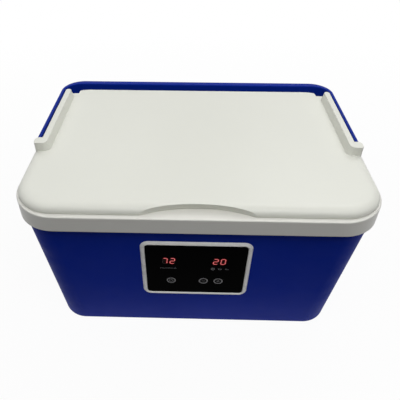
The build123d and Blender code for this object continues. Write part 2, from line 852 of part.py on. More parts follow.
def rails(inset):
    """Both rails: a strip with a leaning inner face along each side, and a foot in front of it."""
    low = lid_base
    high = rail_top - inset
    with BuildPart() as pair:
        for side in (-1, 1):
            for outer, back in ((rail_outer, rail_back_y), (rail_foot_outer, foot_back_y)):
                with BuildSketch(Plane.XZ.offset(-rail_front_y - inset)):
                    with BuildLine():
                        Polyline((side * (rail_inner - rail_lean + inset), low),
                                 (side * (outer - inset), low),
                                 (side * (outer - inset), high),
                                 (side * (rail_inner + inset), high), close=True)
                    make_face()
                extrude(amount=rail_front_y - back + 2 * inset)
        upright = pair.edges().filter_by(lambda edge: abs((edge % 0.5).Z) > 0.9)
        front = upright.group_by(Axis.Y)[0].sort_by(lambda edge: abs(edge.center().X))
        tips = upright.group_by(Axis.Y)[-1]
        behind = upright.sort_by(lambda edge: abs(edge.center().X))[-4:].group_by(Axis.Y)[-1]
        fillet(front[:2], rail_end_round - inset)
        fillet(front[2:], foot_front_round - inset)
        fillet(behind, foot_back_round - inset)
        fillet(tips, rail_tip_round - inset)
    return pair.part


def finger_scoop(grow):
    """The finger recess: an arc seen from above, undercut so that fingers can lift the lid."""
    half = scoop_width / 2 + grow
    outside = lid_front_y - 2 * lid_front_step
    with BuildPart() as scoop:
        for height, depth in ((collar_top, scoop_depth), (collar_top + scoop_rise, scoop_lip_depth)):
            with BuildSketch(Plane.XY.offset(height)):
                with BuildLine():
                    ThreePointArc((-half, lid_front_y), (0, lid_front_y + depth + grow), (half, lid_front_y))
                    Polyline((half, lid_front_y), (half, outside), (-half, outside), (-half, lid_front_y))
                make_face()
        loft(ruled=True)
    return scoop.part


def lid_plug(inset, low, high):
    """The part of the lid that drops into the tub's mouth, set in by an amount."""
    levels = [(z, tub_inset(z) + lid_plug_gap + inset, lid_plug_corner - inset) for z in (low, high)]
    return rounded_loft(levels)


# Lid cover: the white top shell with the rails and the finger recess
cover_outside = crown_form(lid_base, 0, 0)
cover_inside = crown_form(lid_base, lid_wall, lid_wall)
outer_notches = side_notches(0)
inner_notches = side_notches(lid_wall)
outer_scoop = finger_scoop(0)
inner_scoop = finger_scoop(lid_wall)
rail_outside = rails(0)
rail_inside = rails(lid_wall)
with BuildPart() as cover_void:
    add(cover_inside)
    add(inner_notches, mode=Mode.SUBTRACT)
    add(rail_inside)
    add(inner_scoop, mode=Mode.SUBTRACT)
with BuildPart() as lid_cover:
    add(cover_outside)
    add(outer_notches, mode=Mode.SUBTRACT)
    add(rail_outside)
    add(outer_scoop, mode=Mode.SUBTRACT)
    add(cover_void.part, mode=Mode.SUBTRACT)
save(lid_cover, "lid_cover")

# Lid liner: flange inside the cover and a shallow pan that drops into the tub's mouth
liner_inset = lid_wall + liner_gap
liner_notches = side_notches(liner_inset)
liner_scoop = finger_scoop(liner_inset)
plug_low = collar_top - lid_plug_depth
plug_outside = lid_plug(0, plug_low, lid_flange_top)
plug_inside = lid_plug(lid_flange_thick, plug_low + lid_flange_thick, lid_flange_top)
with BuildPart() as lid_liner:
    with BuildSketch(Plane.XY.offset(lid_flange_low)):
        add(lid_outline(liner_inset))
    extrude(amount=lid_flange_thick)
    add(liner_notches, mode=Mode.SUBTRACT)
    add(liner_scoop, mode=Mode.SUBTRACT)
    add(plug_outside)
    fillet(lid_liner.faces().sort_by(Axis.Z)[0].edges(), lid_pan_round)
    add(plug_inside, mode=Mode.SUBTRACT)
save(lid_liner, "lid_liner")

# Lid foam: fills the cover and the pan
foam_top = lid_edge_top + crown_rise - lid_wall - foam_gap
with BuildPart() as foam_crown:
    for height, inset in ((lid_flange_top, liner_inset + foam_gap), (foam_top, liner_inset + foam_shoulder)):
        with BuildSketch(Plane.XY.offset(height)):
            add(lid_outline(inset))
    loft(ruled=True)
foam_plug = lid_plug(lid_flange_thick + foam_gap, plug_low + lid_flange_thick, lid_flange_top)
with BuildPart() as lid_foam:
    add(foam_crown.part)
    add(liner_notches, mode=Mode.SUBTRACT)
    add(liner_scoop, mode=Mode.SUBTRACT)
    add(foam_plug)
save(lid_foam, "lid_foam")

# Lid seal: soft ring between the lid's flange and the collar, round the tub's mouth
seal_edge = rim_width - seal_inset
seal_far = seal_edge + seal_width
with BuildPart() as lid_seal:
    with BuildSketch(Plane.XY.offset(collar_top)):
        RectangleRounded(collar_width - 2 * seal_edge, collar_depth - 2 * seal_edge, tub_corner + seal_inset)
        RectangleRounded(collar_width - 2 * seal_far, collar_depth - 2 * seal_far,
                         tub_corner + seal_inset - seal_width, mode=Mode.SUBTRACT)
    extrude(amount=lid_flange_gap)
save(lid_seal, "lid_seal")

# Carry handle: a strap bail laid back behind the box, its grip thicker and cored from below
grip_outer_y = pivot_y + grip_reach
grip_inner_y = grip_outer_y - grip_thick
strap_low = pivot_z - strap_height / 2
with BuildPart() as carry_handle:
    with BuildSketch(Plane.XY.offset(strap_low)) as bail:
        with BuildSketch(mode=Mode.PRIVATE) as outside:
            with Locations((0, pivot_y)):
                Rectangle(2 * arm_outer, grip_reach, align=(Align.CENTER, Align.MIN))
            fillet(outside.vertices().group_by(Axis.Y)[-1], grip_corner)
        with BuildSketch(mode=Mode.PRIVATE) as inside:
            with Locations((0, pivot_y)):
                Rectangle(2 * arm_inner, grip_inner_y - pivot_y, align=(Align.CENTER, Align.MIN))
            fillet(inside.vertices().group_by(Axis.Y)[-1], grip_inner_corner)
        add(outside.sketch)
        add(inside.sketch, mode=Mode.SUBTRACT)
    extrude(amount=strap_height)
    flat_edges = carry_handle.faces().filter_by(Axis.Z).edges()
    long_edges = flat_edges.filter_by_position(Axis.Y, pivot_y + 1, half_width * 2)
    fillet(long_edges, strap_round)
    for side in (-1, 1):
        with BuildSketch(Plane.XZ.offset(-pivot_y)):
            with Locations((side * (arm_inner + arm_thick / 2), pivot_z)):
                RectangleRounded(arm_thick, strap_height, strap_round)
            with Locations((side * (arm_inner + arm_thick / 2), pivot_z)):
                Rectangle(2 * arm_thick, strap_height, align=(Align.CENTER, Align.MAX), mode=Mode.SUBTRACT)
        revolve(axis=Axis((0, pivot_y, pivot_z), (1, 0, 0)), revolution_arc=180)
    for side in (-1, 1):
        with BuildSketch(Plane.YZ.offset(side * arm_inner)):
            with Locations((pivot_y, pivot_z)):
                Circle(pin_radius + pin_fit)
        extrude(amount=side * arm_thick, mode=Mode.SUBTRACT)
        with BuildSketch(Plane.YZ.offset(side * arm_outer)):
            with Locations((pivot_y, pivot_z)):
                Circle(pin_head_radius + pin_fit)
        extrude(amount=-side * pin_head_thick, mode=Mode.SUBTRACT)
    with BuildSketch(Plane.XY.offset(strap_low)):
        with Locations((0, (grip_inner_y + grip_outer_y) / 2)):
            RectangleRounded(2 * (arm_outer - grip_core_end), grip_core_width, grip_core_round)
    extrude(amount=grip_core_depth, mode=Mode.SUBTRACT)
save(carry_handle, "carry_handle")

# Pivot pins: head in the arm's counterbore, shank through arm and collar, snap ring behind
pin_head_gap = 0.1
pad_back = half_width + pivot_pad_proud - pivot_pad_thick
with BuildPart() as pivot_pins:
    for side in (-1, 1):
        with BuildSketch(Plane.YZ.offset(side * (arm_outer - pin_head_thick + pin_head_gap))):
            with Locations((pivot_y, pivot_z)):
                Circle(pin_head_radius)
        extrude(amount=side * pin_head_thick)
        with BuildSketch(Plane.YZ.offset(side * (pad_back - pin_snap_thick))):
            with Locations((pivot_y, pivot_z)):
                Circle(pin_radius)
        extrude(amount=side * (arm_outer - pad_back + pin_snap_thick - pin_head_thick + pin_head_gap))
        with BuildSketch(Plane.YZ.offset(side * pad_back)):
            with Locations((pivot_y, pivot_z)):
                Circle(pin_snap_radius)
        extrude(amount=-side * pin_snap_thick)
save(pivot_pins, "pivot_pins")

# Pump: stands on the tub's floor on four suction feet, its axis along X
motor_low = tub_floor_top + foot_cup_height
motor_mid = motor_low + pump_size / 2
motor_top = motor_low + pump_size
axis_plane = Plane(origin=(motor_right, pump_y, motor_mid), x_dir=(0, 1, 0), z_dir=(1, 0, 0))
lead_y = pump_y + lead_behind
with BuildPart() as pump_motor:
    with BuildSketch(axis_plane):
        RectangleRounded(pump_size, pump_size, pump_round)
    extrude(amount=-pump_body_length)
    fillet(pump_motor.faces().sort_by(Axis.X)[0].edges(), pump_end_round)
    with BuildSketch(Plane.XY.offset(motor_top - lead_sink)):
        with Locations((lead_x, lead_y)):
            Circle(lead_radius + lead_boss_wall)
    extrude(amount=lead_sink + lead_boss_height)
    with BuildSketch(Plane.XY.offset(motor_top - lead_sink)):
        with Locations((lead_x, lead_y)):
            Circle(lead_radius + lead_fit)
    extrude(amount=lead_sink + lead_boss_height, mode=Mode.SUBTRACT)
    with BuildSketch(axis_plane):
        Circle(rotor_radius + rotor_gap)
    extrude(amount=-well_depth, mode=Mode.SUBTRACT)
    with BuildSketch(axis_plane.offset(-well_depth)):
        Circle(shaft_radius)
    extrude(amount=-shaft_sink, mode=Mode.SUBTRACT)
save(pump_motor, "pump_motor")

with BuildPart() as volute_cover:
    with BuildSketch(axis_plane):
        RectangleRounded(pump_size, pump_size, pump_round)
    extrude(amount=volute_length)
    with BuildSketch(Plane.XY.offset(motor_mid + impeller_radius)):
        with Locations((outlet_x, pump_y)):
            Circle(barb_radius)
    extrude(amount=motor_top + stub_length - motor_mid - impeller_radius)
    with BuildSketch(axis_plane):
        Circle(impeller_radius + chamber_gap)
    extrude(amount=chamber_depth, mode=Mode.SUBTRACT)
    with BuildSketch(axis_plane):
        Circle(inlet_hole_radius)
        Rectangle(2 * inlet_hole_radius, inlet_spoke, mode=Mode.SUBTRACT)
        Circle(hub_radius, mode=Mode.SUBTRACT)
    extrude(amount=volute_length, mode=Mode.SUBTRACT)
    with BuildSketch(axis_plane):
        Circle(shaft_radius)
    extrude(amount=volute_length, mode=Mode.SUBTRACT)
    with BuildSketch(Plane.XY.offset(motor_mid)):
        with Locations((outlet_x, pump_y)):
            Circle(stub_bore)
    extrude(amount=pump_size, mode=Mode.SUBTRACT)
save(volute_cover, "volute_cover")

with BuildPart() as pump_strainer:
    with BuildSketch(axis_plane.offset(volute_length)):
        RectangleRounded(pump_size, pump_size, pump_round)
    extrude(amount=strainer_length)
    fillet(pump_strainer.faces().sort_by(Axis.X)[-1].edges(), strainer_round)
    with BuildSketch(axis_plane.offset(volute_length)):
        RectangleRounded(pump_size - 2 * strainer_wall, pump_size - 2 * strainer_wall,
                         pump_round - strainer_wall)
    extrude(amount=strainer_length - strainer_wall, mode=Mode.SUBTRACT)
    with BuildSketch(axis_plane.offset(volute_length)):
        with GridLocations(0, strainer_pitch, 1, strainer_slots):
            SlotOverall(pump_size - 5 * strainer_wall, strainer_slot)
    extrude(amount=strainer_length, mode=Mode.SUBTRACT)
save(pump_strainer, "pump_strainer")

with BuildPart() as rotor_magnet:
    with BuildSketch(axis_plane.offset(impeller_set)):
        Circle(rotor_radius)
        Circle(shaft_radius + shaft_fit, mode=Mode.SUBTRACT)
    extrude(amount=-rotor_length)
save(rotor_magnet, "rotor_magnet")

with BuildPart() as pump_impeller:
    with BuildSketch(axis_plane.offset(impeller_set)):
        Circle(impeller_radius)
    extrude(amount=impeller_plate)
    with BuildSketch(axis_plane.offset(impeller_set)):
        Circle(hub_radius)
        with PolarLocations(hub_radius - vane_root, vane_count):
            Rectangle(impeller_radius - vane_inset - hub_radius + vane_root, vane_thick,
                      align=(Align.MIN, Align.CENTER))
    extrude(amount=impeller_thick)
    with BuildSketch(axis_plane.offset(impeller_set)):
        Circle(shaft_radius + shaft_fit)
    extrude(amount=impeller_thick, mode=Mode.SUBTRACT)
save(pump_impeller, "pump_impeller")

with BuildPart() as pump_shaft:
    with BuildSketch(axis_plane.offset(volute_length)):
        Circle(shaft_radius)
    extrude(amount=-volute_length - well_depth - shaft_sink)
save(pump_shaft, "pump_shaft")

with BuildPart() as suction_feet:
    foot_places = [(motor_left + pump_body_length / 4, pump_y - pump_size / 4),
                   (motor_left + pump_body_length / 4, pump_y + pump_size / 4),
                   (motor_right - pump_body_length / 4, pump_y - pump_size / 4),
                   (motor_right - pump_body_length / 4, pump_y + pump_size / 4)]
    for place in foot_places:
        with BuildSketch(Plane.XY.offset(tub_floor_top)):
            with Locations(place):
                Circle(foot_cup_radius)
        with BuildSketch(Plane.XY.offset(motor_low - foot_stem_height)):
            with Locations(place):
                Circle(foot_stem_radius)
        loft(ruled=True)
        with BuildSketch(Plane.XY.offset(motor_low - foot_stem_height)):
            with Locations(place):
                Circle(foot_stem_radius)
        extrude(amount=foot_stem_height)
save(suction_feet, "suction_feet")


def rear_point(spot, depth):
    """A point behind the rear wall's outer face, at a place on it and a depth into the box."""
    return rear.from_local_coords((spot[0], spot[1], -depth))


def bent_tube(route, bend, radius, bore):
    """A round tube along straight runs joined by arcs of one radius."""
    with BuildPart() as tube:
        with BuildLine() as path:
            FilletPolyline(*route, radius=bend)
        with BuildSketch(Plane(path.line @ 0, z_dir=path.line % 0)):
            Circle(radius)
            if bore > 0:
                Circle(bore, mode=Mode.SUBTRACT)
        sweep()
    return tube


# Outlet hose: from the pump's stub up and back to the outlet coupling's barb
barb_start = tail_length + hose_fit
lean = radians(wall_draft)
outlet_start = rear_point(outlet_spot, barb_start)
outlet_run = (outlet_start.Y - pump_y) / cos(lean)
outlet_corner = rear_point(outlet_spot, barb_start + outlet_run)
outlet_hose = bent_tube([outlet_start, outlet_corner, Vector(outlet_x, pump_y, motor_top + hose_fit)],
                        hose_bend, hose_radius, barb_radius + hose_fit)
save(outlet_hose, "outlet_hose")

# Return hose: from the return coupling's barb forward and down into the water
return_start = rear_point(return_spot, barb_start)
return_corner = rear_point(return_spot, barb_start + return_reach)
return_end = return_corner + Vector(0, 0, -return_drop)
return_hose = bent_tube([return_start, return_corner, return_end],
                        return_bend, hose_radius, barb_radius + hose_fit)
save(return_hose, "return_hose")

# Hose clamps: one ring with a lug on each hose at its barb, and one at the pump's stub
clamp_inner = hose_radius + hose_fit
clamp_back = tail_length + barb_length / 2 - clamp_width / 2
with BuildPart() as hose_clamps:
    with BuildSketch(rear.offset(-clamp_back)):
        for spot in coupling_spots:
            with Locations((spot[0], spot[1] + clamp_inner + clamp_lug / 2)):
                Rectangle(clamp_lug, clamp_lug)
            with Locations(spot):
                Circle(clamp_inner + clamp_thick)
                Circle(clamp_inner, mode=Mode.SUBTRACT)
    extrude(amount=-clamp_width)
    with BuildSketch(Plane.XY.offset(motor_top + stub_length / 2 - clamp_width / 2)):
        with Locations((outlet_x, pump_y - clamp_inner - clamp_lug / 2)):
            Rectangle(clamp_lug, clamp_lug)
        with Locations((outlet_x, pump_y)):
            Circle(clamp_inner + clamp_thick)
            Circle(clamp_inner, mode=Mode.SUBTRACT)
    extrude(amount=clamp_width)
save(hose_clamps, "hose_clamps")

# Pump lead and its gland in the tub's rear wall
gland_back = wall_total
lead_inner = rear_point(gland_spot, gland_back - lead_behind)
lead_run = (lead_inner.Y - lead_y) / cos(lean)
lead_corner = rear_point(gland_spot, gland_back - lead_behind + lead_run)
pump_lead = bent_tube([lead_inner, lead_corner, Vector(lead_x, lead_y, motor_top)],
                      lead_bend, lead_radius, 0)
save(pump_lead, "pump_lead")

with BuildPart() as lead_gland:
    with BuildSketch(rear.offset(-gland_back)):
        with Locations(gland_spot):
            Circle(gland_flange)
    extrude(amount=-gland_flange_thick)
    with BuildSketch(rear.offset(-gland_back - gland_flange_thick)):
        with Locations(gland_spot):
            Circle(lead_radius + lead_boss_wall)
    extrude(amount=-gland_nose)
    with BuildSketch(rear.offset(-gland_back)):
        with Locations(gland_spot):
            Circle(gland_radius)
    extrude(amount=tub_wall + gland_tail)
    with BuildSketch(rear.offset(-gland_back + lead_behind)):
        with Locations(gland_spot):
            Circle(lead_radius + lead_fit)
    extrude(amount=-gland_back, mode=Mode.SUBTRACT)
save(lead_gland, "lead_gland")

# Temperature probe: a metal well through the tub's rear wall
with BuildPart() as temperature_probe:
    with BuildSketch(rear.offset(-gland_back)):
        with Locations(probe_spot):
            Circle(probe_flange)
    extrude(amount=-gland_flange_thick)
    with BuildSketch(rear.offset(-gland_back + lead_behind)):
        with Locations(probe_spot):
            Circle(probe_radius)
    extrude(amount=-lead_behind - probe_tip)
    tip_rim = temperature_probe.edges().filter_by(GeomType.CIRCLE).sort_by(Axis(rear.origin, rear.z_dir))[0]
    fillet(tip_rim, probe_radius - probe_tip_flat)
save(temperature_probe, "temperature_probe")
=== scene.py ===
import json
import math

import bmesh
import bpy
from mathutils import Matrix, Vector


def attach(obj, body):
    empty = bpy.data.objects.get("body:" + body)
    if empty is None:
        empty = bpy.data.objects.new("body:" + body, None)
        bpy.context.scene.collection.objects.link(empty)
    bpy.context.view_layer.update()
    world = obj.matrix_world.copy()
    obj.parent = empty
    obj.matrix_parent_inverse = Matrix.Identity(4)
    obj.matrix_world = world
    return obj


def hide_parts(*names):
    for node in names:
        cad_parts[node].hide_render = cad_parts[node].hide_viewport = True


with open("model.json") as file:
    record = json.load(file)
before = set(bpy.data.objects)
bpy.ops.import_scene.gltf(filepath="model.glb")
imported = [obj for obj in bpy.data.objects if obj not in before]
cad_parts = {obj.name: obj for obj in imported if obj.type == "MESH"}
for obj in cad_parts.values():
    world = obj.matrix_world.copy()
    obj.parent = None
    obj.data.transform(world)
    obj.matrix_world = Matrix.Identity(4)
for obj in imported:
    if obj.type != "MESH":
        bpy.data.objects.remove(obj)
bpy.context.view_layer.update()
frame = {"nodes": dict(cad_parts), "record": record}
nodes = frame["nodes"]

# Places that part.py sets, in metres, in the same frame
COLLAR_WIDTH = 0.340
COLLAR_DEPTH = 0.2415
COLLAR_BOTTOM = 0.156
COLLAR_SKIRT = 0.018
RIM_WIDTH = 0.032
SHELL_STEP = 0.0072
WALL_LEAN = math.radians(4.8)
PANEL_HEIGHT = 0.0968
PLATE_HEIGHT = 0.118
FASCIA_FACE = 0.0014
BEZEL_WIDTH = 0.107
BEZEL_HEIGHT = 0.0846
BEZEL_MIDDLE = -0.0004
BEZEL_CORNER = 0.0085
BEZEL_PROUD = 0.0023
WINDOW_WIDTH = 0.0982
WINDOW_HEIGHT = 0.0766
WINDOW_CORNER = 0.0041
BEAD_FOOT = 0.0001
BEZEL_BACK = 0.0001
BEAD_PROFILE = ((0.0, 0.0), (0.025, 0.10), (0.065, 0.20), (0.12, 0.31), (0.20, 0.46), (0.29, 0.61),
                (0.38, 0.74), (0.47, 0.85), (0.56, 0.93), (0.65, 0.98), (0.73, 1.0), (0.81, 0.985),
                (0.88, 0.92), (0.93, 0.82), (0.97, 0.68), (1.0, 0.48))
LEDGE_WIDTH = 0.097
LEDGE_HEIGHT = 0.0754
LEDGE_CORNER = 0.0004
SKIRT_WALL = 0.002
SKIRT_DEPTH = 0.009
POWER_KEY = (-0.0243, -0.0177)
MINUS_KEY = (0.0083, -0.0177)
PLUS_KEY = (0.0232, -0.0177)
LEFT_DIGITS = (-0.0264, 0.0142)
RIGHT_DIGITS = (0.0229, 0.0142)
ICON_ROW = 0.0026
ICON_X = (0.0170, 0.0239, 0.0308)
TICK_ROW = 0.0028
TICKS_FROM = -0.0345
TICK_PITCH = 0.0015
TICK_COUNT = 9
BARB_START = 0.00705
HOSE_RADIUS = 0.006
HOSE_BORE = 0.00405
OUTLET_X = 0.004
OUTLET_BEND = 0.036
OUTLET_LIFT = 0.00005
RETURN_X = 0.036
RETURN_REACH = 0.048
RETURN_DROP = 0.045
RETURN_BEND = 0.030
PUMP_Y = 0.014
MOTOR_TOP = 0.072
LEAD_RADIUS = 0.0022
LEAD_BEND = 0.034
LEAD_X = -0.0285
LEAD_Y = 0.022
LEAD_ROW = 0.014
LEAD_BEHIND = 0.008
HARNESS_RADIUS = 0.0025
HARNESS_BEND = 0.034
HARNESS_DEPTH = 0.013
HARNESS_ENDS = (0.0496, -0.024)


def wall_inset(height):
    """How far the blue wall stands inside the collar's outline at a height."""
    return SHELL_STEP + math.tan(WALL_LEAN) * (COLLAR_BOTTOM - height)


def wall_matrix(side, height):
    """A matrix from wall places (right, up, out) to the frame; side is -1 in front, 1 behind."""
    origin = Vector((0, side * (COLLAR_DEPTH / 2 - wall_inset(height)), height))
    right = Vector((-side, 0, 0))
    out = Vector((0, side * math.cos(WALL_LEAN), -math.sin(WALL_LEAN)))
    up = out.cross(right)
    return Matrix.Translation(origin) @ Matrix((right, up, out)).transposed().to_4x4()


PANEL = wall_matrix(-1, PANEL_HEIGHT)
REAR = wall_matrix(1, PLATE_HEIGHT)


# Camera: the photograph's place, direction and focal length
CAMERA_PLACE = (-0.00834, -0.40650, 0.44013)
CAMERA_TILT = math.radians(38.072)
CAMERA_TURN = math.radians(-1.583)
CAMERA_ROLL = math.radians(0.03)
FRAME_PIXELS = 400
FOCAL_PIXELS = 449.76
SHIFT_PIXELS = (21.198, -18.441)


def make_camera():
    """The camera from which the photograph was taken."""
    across, ahead = math.sin(CAMERA_TURN), math.cos(CAMERA_TURN)
    forward = Vector((across * math.cos(CAMERA_TILT), ahead * math.cos(CAMERA_TILT),
                      -math.sin(CAMERA_TILT)))
    level = Vector((ahead, -across, 0))
    down = forward.cross(level)
    right = math.cos(CAMERA_ROLL) * level + math.sin(CAMERA_ROLL) * down
    below = -math.sin(CAMERA_ROLL) * level + math.cos(CAMERA_ROLL) * down
    data = bpy.data.cameras.new("view")
    data.sensor_width = 36
    data.lens = FOCAL_PIXELS / FRAME_PIXELS * data.sensor_width
    data.shift_x = SHIFT_PIXELS[0] / FRAME_PIXELS
    data.shift_y = SHIFT_PIXELS[1] / FRAME_PIXELS
    data.clip_end = 20
    camera = bpy.data.objects.new("view", data)
    turned = Matrix((right, -below, -forward)).transposed().to_4x4()
    camera.matrix_world = Matrix.Translation(Vector(CAMERA_PLACE)) @ turned
    bpy.context.scene.collection.objects.link(camera)
    bpy.context.scene.camera = camera


make_camera()


# Node helpers
EDGE_FROM = 0.995
EDGE_FULL = 0.90


class Net:
    """A material's node tree with short calls for the nodes used here."""

    def __init__(self, name):
        self.material = bpy.data.materials.new(name)
        self.material.use_nodes = True
        self.tree = self.material.node_tree
        self.tree.nodes.clear()
        self.output = self.tree.nodes.new("ShaderNodeOutputMaterial")

    def node(self, kind, **settings):
        made = self.tree.nodes.new(kind)
        for key, value in settings.items():
            setattr(made, key, value)
        return made

    def link(self, source, target):
        self.tree.links.new(source, target)

    def place(self):
        return self.node("ShaderNodeTexCoord").outputs["Object"]

    def split(self, vector):
        made = self.node("ShaderNodeSeparateXYZ")
        self.link(vector, made.inputs["Vector"])
        return made.outputs

    def scaled(self, vector, scale):
        mapping = self.node("ShaderNodeMapping")
        self.link(vector, mapping.inputs["Vector"])
        mapping.inputs["Scale"].default_value = scale
        return mapping.outputs["Vector"]

    def noise(self, vector, scale, detail=2.0, rough=0.5):
        made = self.node("ShaderNodeTexNoise")
        self.link(vector, made.inputs["Vector"])
        made.inputs["Scale"].default_value = scale
        made.inputs["Detail"].default_value = detail
        made.inputs["Roughness"].default_value = rough
        return made.outputs["Fac"]

    def voronoi(self, vector, scale):
        made = self.node("ShaderNodeTexVoronoi")
        self.link(vector, made.inputs["Vector"])
        made.inputs["Scale"].default_value = scale
        return made.outputs["Distance"]

    def spread(self, value, low, high, to_low=0.0, to_high=1.0):
        made = self.node("ShaderNodeMapRange")
        self.link(value, made.inputs["Value"])
        made.inputs["From Min"].default_value = low
        made.inputs["From Max"].default_value = high
        made.inputs["To Min"].default_value = to_low
        made.inputs["To Max"].default_value = to_high
        return made.outputs["Result"]

    def math(self, operation, first, second):
        made = self.node("ShaderNodeMath", operation=operation)
        for socket, value in zip(made.inputs, (first, second)):
            if isinstance(value, (int, float)):
                socket.default_value = value
            else:
                self.link(value, socket)
        return made.outputs["Value"]

    def mix(self, share, first, second):
        made = self.node("ShaderNodeMix", data_type="RGBA")
        for name, value in (("Factor", share), ("A", first), ("B", second)):
            socket = [s for s in made.inputs if s.name == name and s.enabled][0]
            if isinstance(value, (int, float)):
                socket.default_value = value
            elif isinstance(value, tuple):
                socket.default_value = value + (1.0,)
            else:
                self.link(value, socket)
        return [s for s in made.outputs if s.enabled][0]

    def bump(self, height, distance, normal=None):
        made = self.node("ShaderNodeBump")
        made.inputs["Distance"].default_value = distance
        made.inputs["Strength"].default_value = 1.0
        self.link(height, made.inputs["Height"])
        if normal is not None:
            self.link(normal, made.inputs["Normal"])
        return made.outputs["Normal"]

    def bevel(self, radius):
        made = self.node("ShaderNodeBevel", samples=4)
        made.inputs["Radius"].default_value = radius
        return made.outputs["Normal"]

    def edge_mask(self, rounded):
        """1 on sharp edges, 0 on flat faces, by how far the bevelled normal leans."""
        true = self.node("ShaderNodeNewGeometry").outputs["Normal"]
        dot = self.node("ShaderNodeVectorMath", operation="DOT_PRODUCT")
        self.link(rounded, dot.inputs[0])
        self.link(true, dot.inputs[1])
        return self.spread(dot.outputs["Value"], EDGE_FROM, EDGE_FULL)

    def surface(self, shader):
        self.link(shader, self.output.inputs["Surface"])
        return self.material


# Materials
# Height and strength of the painted pale sheen on the shell's foot, which stands in for the floor's
# light reflected there
SHEEN_TOP = 0.085
SHEEN_SHARE = 0.21
CLOUD_SCALE = 9.0
SPECK_SCALE = 130.0
WEAR_SCALE = 70.0
WEAR_SHARE = 0.5
RUB_SCALE = 60.0
RUB_STRETCH = (1.0, 0.25, 1.6)
BRUSH_SCALE = 420.0
BRUSH_STRETCH = (1.0, 1.0, 14.0)
BLOOM_SCALE = 45.0
SKIN_SCALE = 900.0
CELL_SCALE = 900.0
TRACK_SCALE = 260.0
GLOW_SCALE = 700.0
INK_SCALE = 1400.0


def shade(colour, factor):
    """A colour made lighter or darker."""
    return tuple(min(1.0, c * factor) for c in colour)


def moulded(name, colour, rough=0.4, specular=0.3, grain=0.00003, grain_scale=1500.0, vary=0.04,
            wear=None, soft_edge=0.0006, scuff=0.08, sheen=None):
    """Moulded plastic: slightly cloudy and grained, with softened, rubbed edges and, where asked, a
    painted pale sheen that grows towards the foot.
    """
    net = Net(name)
    place = net.place()
    cloud = net.noise(place, CLOUD_SCALE, 3.0)
    speck = net.noise(place, SPECK_SCALE, 2.0, 0.6)
    tint = net.mix(net.spread(cloud, 0.3, 0.7), shade(colour, 1 - vary), shade(colour, 1 + vary))
    tint = net.mix(net.spread(speck, 0.35, 0.75, 0.0, 0.25), tint, shade(colour, 1 - 1.5 * vary))
    rounded = net.bevel(soft_edge)
    if wear is not None:
        patches = net.spread(net.noise(place, WEAR_SCALE), 0.35, 0.65)
        patchy = net.math("MULTIPLY", net.edge_mask(rounded), patches)
        tint = net.mix(net.math("MULTIPLY", patchy, WEAR_SHARE), tint, wear)
    # Painted sheen: the colour turns paler and greyer towards the foot, in place of the floor's
    # light reflected there
    if sheen is not None:
        low = net.spread(net.split(place)["Z"], SHEEN_TOP, 0.0, 0.0, SHEEN_SHARE)
        even = net.math("MULTIPLY", low, low)
        painted_sheen = net.math("MULTIPLY", even, net.spread(cloud, 0.3, 0.7, 0.85, 1.15))
        tint = net.mix(painted_sheen, tint, sheen)
    rub = net.noise(net.scaled(place, RUB_STRETCH), RUB_SCALE, 4.0, 0.6)
    roughness = net.spread(rub, 0.3, 0.75, rough - scuff, rough + scuff)
    fine = net.noise(place, grain_scale, 1.0)
    shader = net.node("ShaderNodeBsdfPrincipled")
    shader.inputs["Specular IOR Level"].default_value = specular
    net.link(tint, shader.inputs["Base Color"])
    net.link(roughness, shader.inputs["Roughness"])
    net.link(net.bump(fine, grain, rounded), shader.inputs["Normal"])
    return net.surface(shader.outputs["BSDF"])


def metal(name, colour, rough=0.3):
    """Turned or pressed metal with fine brushing."""
    net = Net(name)
    place = net.place()
    lines = net.noise(net.scaled(place, BRUSH_STRETCH), BRUSH_SCALE, 3.0, 0.7)
    tint = net.mix(net.spread(lines, 0.3, 0.7), shade(colour, 0.82), shade(colour, 1.08))
    shader = net.node("ShaderNodeBsdfPrincipled")
    shader.inputs["Metallic"].default_value = 1.0
    net.link(tint, shader.inputs["Base Color"])
    net.link(net.spread(lines, 0.2, 0.8, rough - 0.08, rough + 0.12), shader.inputs["Roughness"])
    net.link(net.bump(lines, 0.00001, net.bevel(0.0002)), shader.inputs["Normal"])
    return net.surface(shader.outputs["BSDF"])


def rubber(name, colour, rough=0.65, translucent=0.0):
    """Silicone or soft rubber with a dusty bloom."""
    net = Net(name)
    place = net.place()
    bloom = net.noise(place, BLOOM_SCALE, 4.0, 0.6)
    tint = net.mix(net.spread(bloom, 0.35, 0.7), colour, shade(colour, 1.25))
    shader = net.node("ShaderNodeBsdfPrincipled")
    shader.inputs["Specular IOR Level"].default_value = 0.3
    shader.inputs["Subsurface Weight"].default_value = translucent
    shader.inputs["Subsurface Radius"].default_value = (0.004, 0.004, 0.004)
    net.link(tint, shader.inputs["Base Color"])
    net.link(net.spread(bloom, 0.3, 0.7, rough - 0.1, rough + 0.1), shader.inputs["Roughness"])
    net.link(net.bump(net.noise(place, SKIN_SCALE, 2.0), 0.00003), shader.inputs["Normal"])
    return net.surface(shader.outputs["BSDF"])


def foam(name, colour):
    """Cut polyurethane foam with open cells."""
    net = Net(name)
    place = net.place()
    cells = net.voronoi(place, CELL_SCALE)
    tint = net.mix(net.spread(cells, 0.0, 0.7), shade(colour, 0.72), colour)
    shader = net.node("ShaderNodeBsdfPrincipled")
    shader.inputs["Roughness"].default_value = 0.9
    net.link(tint, shader.inputs["Base Color"])
    net.link(net.bump(cells, 0.0004), shader.inputs["Normal"])
    return net.surface(shader.outputs["BSDF"])


